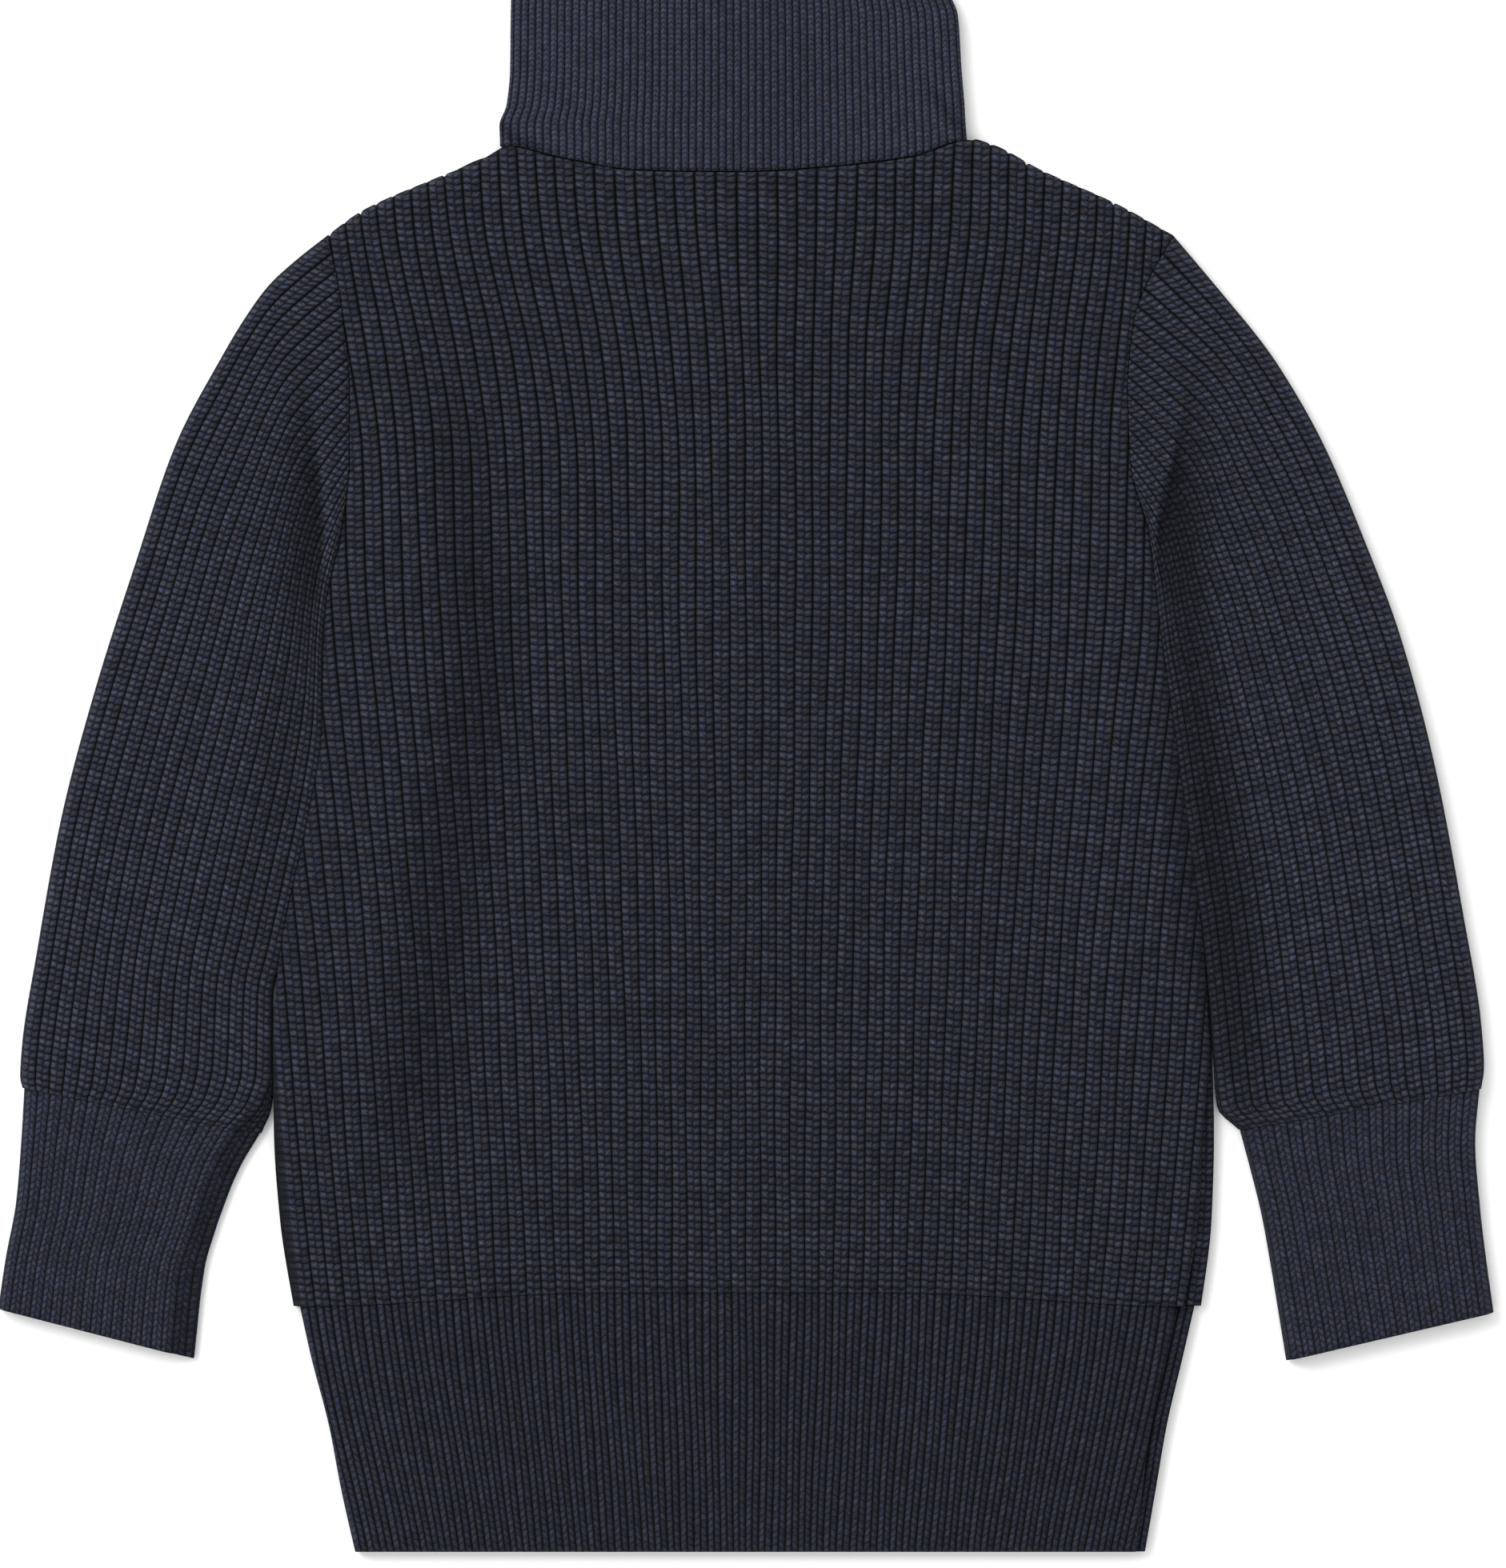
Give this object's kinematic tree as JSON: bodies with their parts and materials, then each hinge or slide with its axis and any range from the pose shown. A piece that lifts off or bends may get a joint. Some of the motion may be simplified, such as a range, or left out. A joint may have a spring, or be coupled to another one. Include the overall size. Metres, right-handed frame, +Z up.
{
  "type": "quarter-zip sweater",
  "caption": "Chunky rib-knit quarter-zip sweater laid flat with its back up: high stand collar, set-in sleeves, narrower rib hem and cuffs, zip and pull tab on the front underneath",
  "frame": {"origin": "centre of the footprint, on the surface the sweater lies on", "axes": "+X towards the wearer's right sleeve, +Y towards the collar, +Z up out of the back"},
  "size_m": [0.505, 0.5264, 0.009],
  "materials": {
    "navy_rib_yarn": "matte chunky rib knit",
    "navy_fine_rib_yarn": "matte fine rib knit",
    "zip_tape": "matte woven tape",
    "dark_nickel": "satin"
  },
  "bodies": {
    "garment": {"back_panel": "navy_rib_yarn", "back_hem_rib": "navy_fine_rib_yarn", "front_panel": "navy_rib_yarn", "front_hem_rib": "navy_fine_rib_yarn", "sleeve_left": "navy_rib_yarn", "sleeve_right": "navy_rib_yarn", "cuff_left": "navy_fine_rib_yarn", "cuff_right": "navy_fine_rib_yarn", "collar": "navy_fine_rib_yarn", "zip_tape_left": "zip_tape", "zip_tape_right": "zip_tape", "zip_slider": "dark_nickel"},
    "pull": {"pull_tab": "dark_nickel"}
  },
  "joints": [
    {"name": "pull_swing", "type": "hinge", "parent": "garment", "child": "pull", "pos_m": [-0.0035, 0.2506, 0.0012], "axis": [1, 0, 0], "range_deg": [0, 180]}
  ]
}
